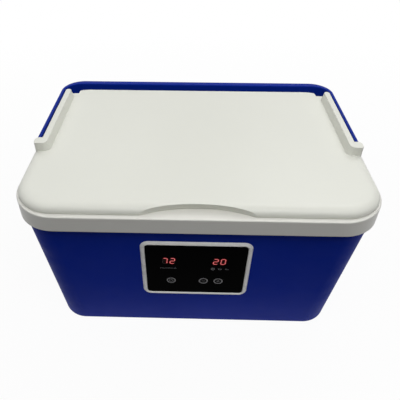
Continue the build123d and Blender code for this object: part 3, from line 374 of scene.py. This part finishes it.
def circuit(name, colour):
    """Solder mask with paler copper tracks under it."""
    net = Net(name)
    bricks = net.node("ShaderNodeTexBrick")
    net.link(net.place(), bricks.inputs["Vector"])
    bricks.inputs["Scale"].default_value = TRACK_SCALE
    bricks.inputs["Mortar Size"].default_value = 0.03
    bricks.inputs["Color1"].default_value = colour + (1.0,)
    bricks.inputs["Color2"].default_value = shade(colour, 0.7) + (1.0,)
    bricks.inputs["Mortar"].default_value = shade(colour, 1.9) + (1.0,)
    shader = net.node("ShaderNodeBsdfPrincipled")
    shader.inputs["Roughness"].default_value = 0.35
    net.link(bricks.outputs["Color"], shader.inputs["Base Color"])
    net.link(net.bump(bricks.outputs["Fac"], 0.00005), shader.inputs["Normal"])
    return net.surface(shader.outputs["BSDF"])


def glowing(name, core, rim):
    """Light that comes through the panel, a little uneven along a segment."""
    net = Net(name)
    uneven = net.noise(net.place(), GLOW_SCALE, 1.0)
    shader = net.node("ShaderNodeEmission")
    shader.inputs["Strength"].default_value = 1.0
    net.link(net.mix(net.spread(uneven, 0.35, 0.65), rim, core), shader.inputs["Color"])
    return net.surface(shader.outputs["Emission"])


def printed(name, colour):
    """Screen print: thin ink with patchy cover."""
    net = Net(name)
    patch = net.noise(net.place(), INK_SCALE, 2.0)
    shader = net.node("ShaderNodeBsdfPrincipled")
    shader.inputs["Specular IOR Level"].default_value = 0.1
    shader.inputs["Roughness"].default_value = 0.5
    cover = net.mix(net.spread(patch, 0.3, 0.7), shade(colour, 0.75), colour)
    net.link(cover, shader.inputs["Base Color"])
    return net.surface(shader.outputs["BSDF"])


BLUE = (0.0014, 0.021, 0.31)
# The handle's blue is the shell's blue made darker, as painted shade for its dark top edges
SHADED_HANDLE_BLUE = (0.0015, 0.020, 0.27)
WHITE = (0.775, 0.77, 0.72)
LID_WHITE = (0.765, 0.772, 0.705)
PART_WHITE = (0.76, 0.76, 0.73)
# Tint of the painted pale sheen on the shell's foot
SHEEN_TINT = (0.75, 0.72, 0.78)

materials = {
    # The shell's foot gets the painted pale sheen
    "blue_shell": moulded("blue_shell", BLUE, rough=0.50, specular=0.03, wear=(0.02, 0.05, 0.36),
                          sheen=SHEEN_TINT),
    "blue_handle": moulded("blue_handle", SHADED_HANDLE_BLUE, rough=0.40, specular=0.05,
                           wear=(0.02, 0.05, 0.32)),
    "pin_blue": moulded("pin_blue", BLUE, rough=0.36, specular=0.08, wear=(0.03, 0.06, 0.38)),
    "white_liner": moulded("white_liner", WHITE, rough=0.34, specular=0.4, vary=0.012, scuff=0.015),
    "lid_white": moulded("lid_white", LID_WHITE, rough=0.34, specular=0.4, vary=0.012, scuff=0.015),
    "inner_white": moulded("inner_white", (0.78, 0.78, 0.74), rough=0.5, vary=0.03),
    "bezel_white": moulded("bezel_white", (0.87, 0.87, 0.83), rough=0.30, specular=0.5, vary=0.02,
                           soft_edge=0.0004),
    "plate_white": moulded("plate_white", PART_WHITE, rough=0.5, vary=0.03),
    "nut_white": moulded("nut_white", PART_WHITE, rough=0.45, vary=0.03, soft_edge=0.0003),
    "plunger_white": moulded("plunger_white", PART_WHITE, rough=0.45, vary=0.03, soft_edge=0.0002),
    "impeller_white": moulded("impeller_white", PART_WHITE, rough=0.45, vary=0.03, soft_edge=0.0002),
    "foam": foam("foam", (0.80, 0.70, 0.42)),
    "fascia_black": moulded("fascia_black", (0.0003, 0.0003, 0.0004), rough=0.12, specular=0.004,
                            grain=0.0, vary=0.05, soft_edge=0.0002, scuff=0.03),
    "key_black": moulded("key_black", (0.0005, 0.0005, 0.0006), rough=0.16, specular=0.005,
                         grain=0.0, vary=0.05, soft_edge=0.0002, scuff=0.03),
    "switch_black": moulded("switch_black", (0.02, 0.02, 0.02), rough=0.4, soft_edge=0.0002),
    "display_resin": moulded("display_resin", (0.12, 0.02, 0.02), rough=0.3, soft_edge=0.0002),
    "led_resin": moulded("led_resin", (0.55, 0.55, 0.5), rough=0.2, soft_edge=0.0002),
    "board_green": circuit("board_green", (0.01, 0.12, 0.04)),
    "steel": metal("steel", (0.55, 0.55, 0.56)),
    "coupling_grey": moulded("coupling_grey", (0.33, 0.34, 0.36), rough=0.42, soft_edge=0.0004,
                             wear=(0.5, 0.5, 0.52)),
    "seal_rubber": rubber("seal_rubber", (0.03, 0.03, 0.032)),
    "inlet_black": moulded("inlet_black", (0.015, 0.015, 0.016), rough=0.35, soft_edge=0.0003),
    "pump_black": moulded("pump_black", (0.018, 0.018, 0.020), rough=0.45, soft_edge=0.0005,
                          wear=(0.08, 0.08, 0.085)),
    "magnet": moulded("magnet", (0.05, 0.05, 0.055), rough=0.6, grain=0.0001, grain_scale=2500.0),
    "ceramic": moulded("ceramic", (0.82, 0.81, 0.78), rough=0.2, soft_edge=0.0002),
    "hose_silicone": rubber("hose_silicone", (0.58, 0.61, 0.62), rough=0.4, translucent=0.3),
    "cable_black": rubber("cable_black", (0.012, 0.012, 0.013), rough=0.5),
}

slot_of = {part["node"]: part["material_slot"] for part in frame["record"]["subparts"]}
for name, node in nodes.items():
    node.data.materials.clear()
    node.data.materials.append(materials[slot_of[name]])


# Pieces
TUBE_SHARP = math.radians(50)
BEZEL_SHARP = math.radians(40)


def add_piece(form, name, material, body, replaced=None, sharp=None):
    """Makes a form into a piece on a body, smooth up to an angle where one is given."""
    mesh = bpy.data.meshes.new(name)
    form.to_mesh(mesh)
    form.free()
    mesh.materials.append(material)
    if sharp is not None:
        for face in mesh.polygons:
            face.use_smooth = len(face.vertices) == 4
        mesh.set_sharp_from_angle(angle=sharp)
    piece = bpy.data.objects.new(name, mesh)
    bpy.context.scene.collection.objects.link(piece)
    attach(piece, body)
    if replaced is not None:
        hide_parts(replaced)


# Hoses, the pump's lead and the harness: smooth tubes along the routes that part.py gives them
def rounded_route(points, bend, steps=20):
    """Points along straight runs joined by arcs of one radius."""
    route = [points[0]]
    for before, corner, after in zip(points, points[1:], points[2:]):
        back = (before - corner).normalized()
        ahead = (after - corner).normalized()
        half = back.angle(ahead) / 2
        centre = corner + (back + ahead).normalized() * bend / math.sin(half)
        first = corner + back * bend / math.tan(half) - centre
        last = corner + ahead * bend / math.tan(half) - centre
        turn = first.rotation_difference(last)
        for step in range(steps + 1):
            part = turn.copy()
            part.angle = turn.angle * step / steps
            route.append(centre + part @ first)
    route.append(points[-1])
    return route


def tube(name, points, bend, radius, bore, slot, node, sides=40):
    """A round tube, or a solid cord where the bore is 0, that stands for a CAD node of the box."""
    route = rounded_route(points, bend)
    form = bmesh.new()
    across = (route[1] - route[0]).orthogonal().normalized()
    walls = []
    for index, point in enumerate(route):
        along = (route[min(index + 1, len(route) - 1)] - route[max(index - 1, 0)]).normalized()
        across = (across - along * across.dot(along)).normalized()
        other = along.cross(across)
        rings = []
        for size in ((radius, bore) if bore > 0 else (radius,)):
            rings.append([form.verts.new(point + size * (across * math.cos(a) + other * math.sin(a)))
                          for a in (2 * math.pi * side / sides for side in range(sides))])
        walls.append(rings)
    for layer in range(len(walls[0])):
        for low, high in zip(walls, walls[1:]):
            for side in range(sides):
                after = (side + 1) % sides
                quad = (low[layer][side], low[layer][after], high[layer][after], high[layer][side])
                form.faces.new(quad if layer == 0 else quad[::-1])
    for rings, flip in ((walls[0], True), (walls[-1], False)):
        if bore > 0:
            for side in range(sides):
                after = (side + 1) % sides
                quad = (rings[0][side], rings[0][after], rings[1][after], rings[1][side])
                form.faces.new(quad[::-1] if flip else quad)
        else:
            form.faces.new(rings[0][::-1] if flip else rings[0])
    bmesh.ops.recalc_face_normals(form, faces=form.faces)
    add_piece(form, name, materials[slot], "box", node, TUBE_SHARP)


def rear_point(x, row, depth):
    """A point inside the box behind a place on the rear wall."""
    return REAR @ Vector((-x, row, -depth))


wall_total = (RIM_WIDTH + math.tan(WALL_LEAN) * COLLAR_SKIRT - SHELL_STEP) * math.cos(WALL_LEAN)
hose_from = wall_total + BARB_START
outlet_start = rear_point(OUTLET_X, 0, hose_from)
outlet_run = (outlet_start.y - PUMP_Y) / math.cos(WALL_LEAN)
tube("outlet_tube", [outlet_start, rear_point(OUTLET_X, 0, hose_from + outlet_run),
                     Vector((OUTLET_X, PUMP_Y, MOTOR_TOP + OUTLET_LIFT))],
     OUTLET_BEND, HOSE_RADIUS, HOSE_BORE, "hose_silicone", "outlet_hose")
return_corner = rear_point(RETURN_X, 0, hose_from + RETURN_REACH)
tube("return_tube", [rear_point(RETURN_X, 0, hose_from), return_corner,
                     return_corner + Vector((0, 0, -RETURN_DROP))],
     RETURN_BEND, HOSE_RADIUS, HOSE_BORE, "hose_silicone", "return_hose")
lead_from = wall_total - LEAD_BEHIND
lead_start = rear_point(LEAD_X, LEAD_ROW, lead_from)
lead_run = (lead_start.y - LEAD_Y) / math.cos(WALL_LEAN)
tube("pump_cable", [lead_start, rear_point(LEAD_X, LEAD_ROW, lead_from + lead_run),
                    Vector((LEAD_X, LEAD_Y, MOTOR_TOP))],
     LEAD_BEND, LEAD_RADIUS, 0, "cable_black", "pump_lead")
harness_inset = wall_inset(PANEL_HEIGHT) + HARNESS_DEPTH / math.cos(WALL_LEAN)
harness_x = COLLAR_WIDTH / 2 - harness_inset
harness_y = COLLAR_DEPTH / 2 - harness_inset
harness_z = PANEL_HEIGHT - math.sin(WALL_LEAN) * HARNESS_DEPTH
harness_corners = ((HARNESS_ENDS[0], -harness_y), (harness_x, -harness_y),
                   (harness_x, harness_y), (HARNESS_ENDS[1], harness_y))
tube("harness_cable", [Vector((x, y, harness_z)) for x, y in harness_corners],
     HARNESS_BEND, HARNESS_RADIUS, 0, "cable_black", "wiring_harness")


# Panel bezel: a rounded bead with a ledge under the window and a skirt through the wall
def rounded_outline(width, height, corner, middle, steps=12):
    """Points round a rectangle with rounded corners, always as many."""
    points = []
    for quarter in range(4):
        side_x = 1 if quarter in (0, 3) else -1
        side_y = 1 if quarter in (0, 1) else -1
        centre = (side_x * (width / 2 - corner), middle + side_y * (height / 2 - corner))
        for step in range(steps + 1):
            angle = math.pi / 2 * (quarter + step / steps)
            points.append((centre[0] + corner * math.cos(angle),
                           centre[1] + corner * math.sin(angle)))
    return points


def make_bezel():
    """The bezel as rings: up over the bead's crest, then down to the ledge and the skirt."""
    outer = rounded_outline(BEZEL_WIDTH, BEZEL_HEIGHT, BEZEL_CORNER, BEZEL_MIDDLE)
    inner = rounded_outline(WINDOW_WIDTH, WINDOW_HEIGHT, WINDOW_CORNER, 0)
    ledge = rounded_outline(LEDGE_WIDTH, LEDGE_HEIGHT, LEDGE_CORNER, 0)
    skirt = rounded_outline(LEDGE_WIDTH + 2 * SKIRT_WALL, LEDGE_HEIGHT + 2 * SKIRT_WALL,
                            WINDOW_CORNER, 0)
    levels = []
    for share, rise in BEAD_PROFILE:
        height = BEAD_FOOT + (BEZEL_PROUD - BEAD_FOOT) * rise
        levels.append(([(a[0] + share * (b[0] - a[0]), a[1] + share * (b[1] - a[1]))
                        for a, b in zip(outer, inner)], height))
    levels += [(inner, 0.0), (ledge, 0.0), (ledge, -SKIRT_DEPTH), (skirt, -SKIRT_DEPTH),
               (skirt, -BEZEL_BACK), (outer, -BEZEL_BACK)]
    form = bmesh.new()
    rings = [[form.verts.new(PANEL @ Vector((x, y, height))) for x, y in outline]
             for outline, height in levels]
    count = len(outer)
    for low, high in zip(rings, rings[1:] + rings[:1]):
        for index in range(count):
            after = (index + 1) % count
            form.faces.new((low[index], low[after], high[after], high[index]))
    bmesh.ops.recalc_face_normals(form, faces=form.faces)
    add_piece(form, "bezel_bead", materials["bezel_white"], "box", "panel_bezel",
              BEZEL_SHARP)


make_bezel()


# Prints and lights on the panel: the ink and the glow lie a hair's breadth above its face
BLOOM_LIFT = 0.00001
UNLIT_LIFT = 0.00002
PRINT_LIFT = 0.00003
LIT_LIFT = 0.00005


def flat_piece(name, outlines, lift, material, body):
    """Flat shapes above the panel's face; each is a rim of (right, up) points and a hole or None."""
    height = FASCIA_FACE + lift
    form = bmesh.new()
    for outer, inner in outlines:
        rim = [form.verts.new(PANEL @ Vector((x, y, height))) for x, y in outer]
        if inner is None:
            form.faces.new(rim)
            continue
        hole = [form.verts.new(PANEL @ Vector((x, y, height))) for x, y in inner]
        count = len(rim)
        for index in range(count):
            after = (index + 1) % count
            form.faces.new((rim[index], rim[after], hole[after], hole[index]))
    form.normal_update()
    add_piece(form, name, material, body)


def circle(centre, radius, count=40, start=0.0, sweep=2 * math.pi):
    """Points round a circle or along an arc."""
    steps = count if abs(sweep - 2 * math.pi) < 1e-6 else count + 1
    return [(centre[0] + radius * math.cos(start + sweep * i / count),
             centre[1] + radius * math.sin(start + sweep * i / count)) for i in range(steps)]


def ring(centre, radius, width):
    """A closed ring of a width, its middle at the radius."""
    return circle(centre, radius + width / 2), circle(centre, radius - width / 2)


def arc_band(centre, radius, width, start, sweep):
    """A curved stroke along an arc."""
    outer = circle(centre, radius + width / 2, 20, start, sweep)
    inner = circle(centre, radius - width / 2, 20, start, sweep)
    return outer + inner[::-1], None


def bar(centre, width, height):
    """An upright rectangle."""
    x, y = centre
    return [(x - width / 2, y - height / 2), (x + width / 2, y - height / 2),
            (x + width / 2, y + height / 2), (x - width / 2, y + height / 2)], None


SEGMENTS = {"0": "abcdef", "2": "abged", "7": "abc"}
DIGIT_HEIGHT = 0.0078
DIGIT_WIDTH = 0.0041
DIGIT_PITCH = 0.0072
DIGIT_SLANT = 0.08
SEGMENT = 0.0007
SEGMENT_TRIM = 0.35
HALO_GROWTH = 0.00035
BLOOM_GROWTH = 0.0010


def segment_outlines(centre, letters, grow):
    """Outlines of a digit's segments: a at the top, clockwise to f, then g across the middle."""
    half_w = DIGIT_WIDTH / 2
    half_h = DIGIT_HEIGHT / 2
    runs = {"a": ((-half_w, half_h), (half_w, half_h)), "b": ((half_w, half_h), (half_w, 0)),
            "c": ((half_w, 0), (half_w, -half_h)), "d": ((-half_w, -half_h), (half_w, -half_h)),
            "e": ((-half_w, 0), (-half_w, -half_h)), "f": ((-half_w, half_h), (-half_w, 0)),
            "g": ((-half_w, 0), (half_w, 0))}
    outlines = []
    for letter in letters:
        start, end = (Vector(p) for p in runs[letter])
        along = (end - start).normalized()
        across = Vector((-along.y, along.x))
        half = SEGMENT / 2 + grow
        trim = SEGMENT * SEGMENT_TRIM
        first, last = start + along * trim, end - along * trim
        points = [first - along * grow,
                  first + along * half + across * half,
                  last - along * half + across * half,
                  last + along * grow,
                  last - along * half - across * half,
                  first + along * half - across * half]
        leaning = [(centre[0] + p.x + DIGIT_SLANT * p.y, centre[1] + p.y) for p in points]
        outlines.append((leaning, None))
    return outlines


GLOW_CORE = glowing("glow_core", (0.78, 0.25, 0.25), (0.66, 0.15, 0.15))
GLOW_RIM = glowing("glow_rim", (0.26, 0.008, 0.010), (0.18, 0.004, 0.006))
GLOW_FAR = glowing("glow_far", (0.055, 0.0010, 0.0014), (0.035, 0.0005, 0.0009))
GLOW_OFF = printed("glow_off", (0.035, 0.016, 0.014))
PRINT_GREY = printed("print_grey", (0.26, 0.26, 0.265))
PRINT_DIM = printed("print_dim", (0.17, 0.17, 0.175))

for centre, digits, name in ((LEFT_DIGITS, "72", "temperature"), (RIGHT_DIGITS, "20", "timer")):
    lit, halo, bloom, unlit = [], [], [], []
    for place, digit in zip((-0.5, 0.5), digits):
        spot = (centre[0] + place * DIGIT_PITCH, centre[1])
        lit += segment_outlines(spot, SEGMENTS[digit], 0.0)
        halo += segment_outlines(spot, SEGMENTS[digit], HALO_GROWTH)
        bloom += segment_outlines(spot, SEGMENTS[digit], BLOOM_GROWTH)
        unlit += segment_outlines(spot, [s for s in "abcdefg" if s not in SEGMENTS[digit]], 0.0)
    flat_piece(name + "_unlit", unlit, UNLIT_LIFT, GLOW_OFF, "box")
    flat_piece(name + "_bloom", bloom, BLOOM_LIFT, GLOW_FAR, "box")
    flat_piece(name + "_halo", halo, PRINT_LIFT, GLOW_RIM, "box")
    flat_piece(name + "_digits", lit, LIT_LIFT, GLOW_CORE, "box")

# Rings and symbols of the three keys, which travel with them
KEY_RING = (0.0040, 0.0013)
STROKE = 0.0005
POWER_ARC = 0.0018
POWER_ARC_FROM, POWER_ARC_SWEEP = math.radians(120), math.radians(300)
POWER_BAR = (0.0015, 0.0020)
MINUS_LENGTH = 0.0038
PLUS_ARM = (0.00108, 0.00165)

for centre, name in ((POWER_KEY, "power"), (MINUS_KEY, "minus"), (PLUS_KEY, "plus")):
    marks = [ring(centre, *KEY_RING)]
    if name == "power":
        marks.append(arc_band(centre, POWER_ARC, STROKE, POWER_ARC_FROM, POWER_ARC_SWEEP))
        marks.append(bar((centre[0], centre[1] + POWER_BAR[0]), STROKE, POWER_BAR[1]))
    else:
        marks.append(bar(centre, MINUS_LENGTH, STROKE))
        if name == "plus":
            marks.append(bar((centre[0], centre[1] + PLUS_ARM[0]), STROKE, PLUS_ARM[1]))
            marks.append(bar((centre[0], centre[1] - PLUS_ARM[0]), STROKE, PLUS_ARM[1]))
    flat_piece(name + "_mark", marks, PRINT_LIFT, PRINT_GREY, name + "_button")

# Three status marks under the right digits: a dot in a ring, a frame and three falling bars
DOT_RING = (0.0015, 0.0008)
DOT_SIZE = 0.0009
FRAME_HALF = 0.0008
FRAME_REACH = 1.9
FRAME_LINE = 0.0004
FRAME_LENGTHS = (0.0034, 0.0012)
FALL_PITCH = 0.0011
FALL_STEP = 0.0003
FALL_HEIGHT = 0.0022
FALL_LOSS = 0.0006

icons = [ring((ICON_X[0], ICON_ROW), *DOT_RING), bar((ICON_X[0], ICON_ROW), DOT_SIZE, DOT_SIZE)]
for offset in (-FRAME_HALF, FRAME_HALF):
    icons.append(bar((ICON_X[1], ICON_ROW + offset), FRAME_LENGTHS[0], FRAME_LINE))
    icons.append(bar((ICON_X[1] + FRAME_REACH * offset, ICON_ROW), FRAME_LINE, FRAME_LENGTHS[1]))
for step in range(3):
    middle = (ICON_X[2] + FALL_PITCH * (step - 1), ICON_ROW - FALL_STEP * step)
    icons.append(bar(middle, STROKE, FALL_HEIGHT - FALL_LOSS * step))
flat_piece("status_marks", icons, PRINT_LIFT, PRINT_GREY, "box")

# A plain scale of ticks under the left digits, with a small ring at its end
TICK_SIZE = (0.0010, 0.0009)
END_RING = (0.0008, 0.0004)
END_GAP = 0.6

ticks = [bar((TICKS_FROM + TICK_PITCH * step, TICK_ROW), *TICK_SIZE) for step in range(TICK_COUNT)]
ticks.append(ring((TICKS_FROM + TICK_PITCH * (TICK_COUNT + END_GAP), TICK_ROW), *END_RING))
flat_piece("scale_marks", ticks, PRINT_LIFT, PRINT_DIM, "box")


# Floor, backdrop and light
FLOOR_HALF = 6.0
FLOOR_STRETCH = (0.7, 1.0, 1.0)
# Reach and tints of the painted pool of light that the floor gives to bouncing light
NEAR_REACH = (0.14, 0.24)
NEAR_TINT = (0.88, 0.86, 0.88)
FAR_TINT = (0.07, 0.07, 0.075)
SEEN_TINT = (0.95, 0.95, 0.95)
WHITE_REACH = (0.25, 0.80)
WHITE_NEAR = 0.94
SKY_TINT = (1.0, 0.98, 0.96, 1.0)
SKY_STRENGTH = 0.06
PURE_WHITE = (1.0, 1.0, 1.0, 1.0)
LAMP_AIM = (0, 0, 0.15)
LAMPS = (("front", (0.10, -0.75, 1.35), 0.8, 6.9),
         ("right", (0.80, -0.45, 1.20), 0.9, 3.9),
         ("left", (-0.80, -0.30, 1.10), 0.8, 2.7),
         ("back", (-0.50, 0.70, 1.50), 1.4, 5.0),
         ("back_right", (0.45, 0.60, 1.20), 0.8, 4.6))


def make_floor():
    """A plain pale floor that the camera sees as white with a faint shadow; light bouncing off it
    sees a painted pool of light instead, pale near the box and nearly black further out.
    """
    net = Net("floor")
    path = net.node("ShaderNodeLightPath")
    seen = net.math("MAXIMUM", path.outputs["Is Camera Ray"], path.outputs["Is Glossy Ray"])
    seen = net.math("MAXIMUM", seen, path.outputs["Is Transmission Ray"])
    reach = net.node("ShaderNodeVectorMath", operation="LENGTH")
    net.link(net.scaled(net.place(), FLOOR_STRETCH), reach.inputs[0])
    # Painted pool of light: pale near the box, nearly black further out, for bouncing rays only
    near = net.spread(reach.outputs["Value"], NEAR_REACH[1], NEAR_REACH[0])
    painted_pool = net.mix(near, FAR_TINT, NEAR_TINT)
    diffuse = net.node("ShaderNodeBsdfDiffuse")
    net.link(net.mix(seen, painted_pool, SEEN_TINT), diffuse.inputs["Color"])
    white = net.node("ShaderNodeEmission")
    white.inputs["Color"].default_value = PURE_WHITE
    both = net.node("ShaderNodeMixShader")
    white_share = net.spread(reach.outputs["Value"], *WHITE_REACH, WHITE_NEAR, 1.0)
    net.link(net.math("MULTIPLY", seen, white_share), both.inputs[0])
    net.link(diffuse.outputs["BSDF"], both.inputs[1])
    net.link(white.outputs["Emission"], both.inputs[2])
    net.surface(both.outputs["Shader"])
    mesh = bpy.data.meshes.new("floor")
    corners = [(x * FLOOR_HALF, y * FLOOR_HALF, 0) for x, y in ((-1, -1), (1, -1), (1, 1), (-1, 1))]
    mesh.from_pydata(corners, [], [(0, 1, 2, 3)])
    mesh.materials.append(net.material)
    floor = bpy.data.objects.new("floor", mesh)
    bpy.context.scene.collection.objects.link(floor)


def make_world():
    """White where it is seen, a dim plain sky for lighting."""
    world = bpy.data.worlds.new("sky")
    bpy.context.scene.world = world
    world.use_nodes = True
    tree = world.node_tree
    tree.nodes.clear()
    output = tree.nodes.new("ShaderNodeOutputWorld")
    path = tree.nodes.new("ShaderNodeLightPath")
    seen = path.outputs["Is Camera Ray"]
    for kind in ("Is Glossy Ray", "Is Transmission Ray"):
        join = tree.nodes.new("ShaderNodeMath")
        join.operation = "MAXIMUM"
        tree.links.new(seen, join.inputs[0])
        tree.links.new(path.outputs[kind], join.inputs[1])
        seen = join.outputs[0]
    dim = tree.nodes.new("ShaderNodeBackground")
    dim.inputs["Color"].default_value = SKY_TINT
    dim.inputs["Strength"].default_value = SKY_STRENGTH
    white = tree.nodes.new("ShaderNodeBackground")
    white.inputs["Color"].default_value = PURE_WHITE
    white.inputs["Strength"].default_value = 1.0
    both = tree.nodes.new("ShaderNodeMixShader")
    tree.links.new(seen, both.inputs[0])
    tree.links.new(dim.outputs[0], both.inputs[1])
    tree.links.new(white.outputs[0], both.inputs[2])
    tree.links.new(both.outputs[0], output.inputs["Surface"])


def make_lamp(name, place, size, power):
    """A square, white area lamp that points at the object."""
    data = bpy.data.lights.new(name, "AREA")
    data.size = size
    data.energy = power
    lamp = bpy.data.objects.new(name, data)
    lamp.location = place
    lamp.rotation_euler = (Vector(LAMP_AIM) - Vector(place)).to_track_quat("-Z", "Y").to_euler()
    bpy.context.scene.collection.objects.link(lamp)


make_floor()
make_world()
for lamp_values in LAMPS:
    make_lamp(*lamp_values)

bpy.context.scene.view_settings.view_transform = "Standard"
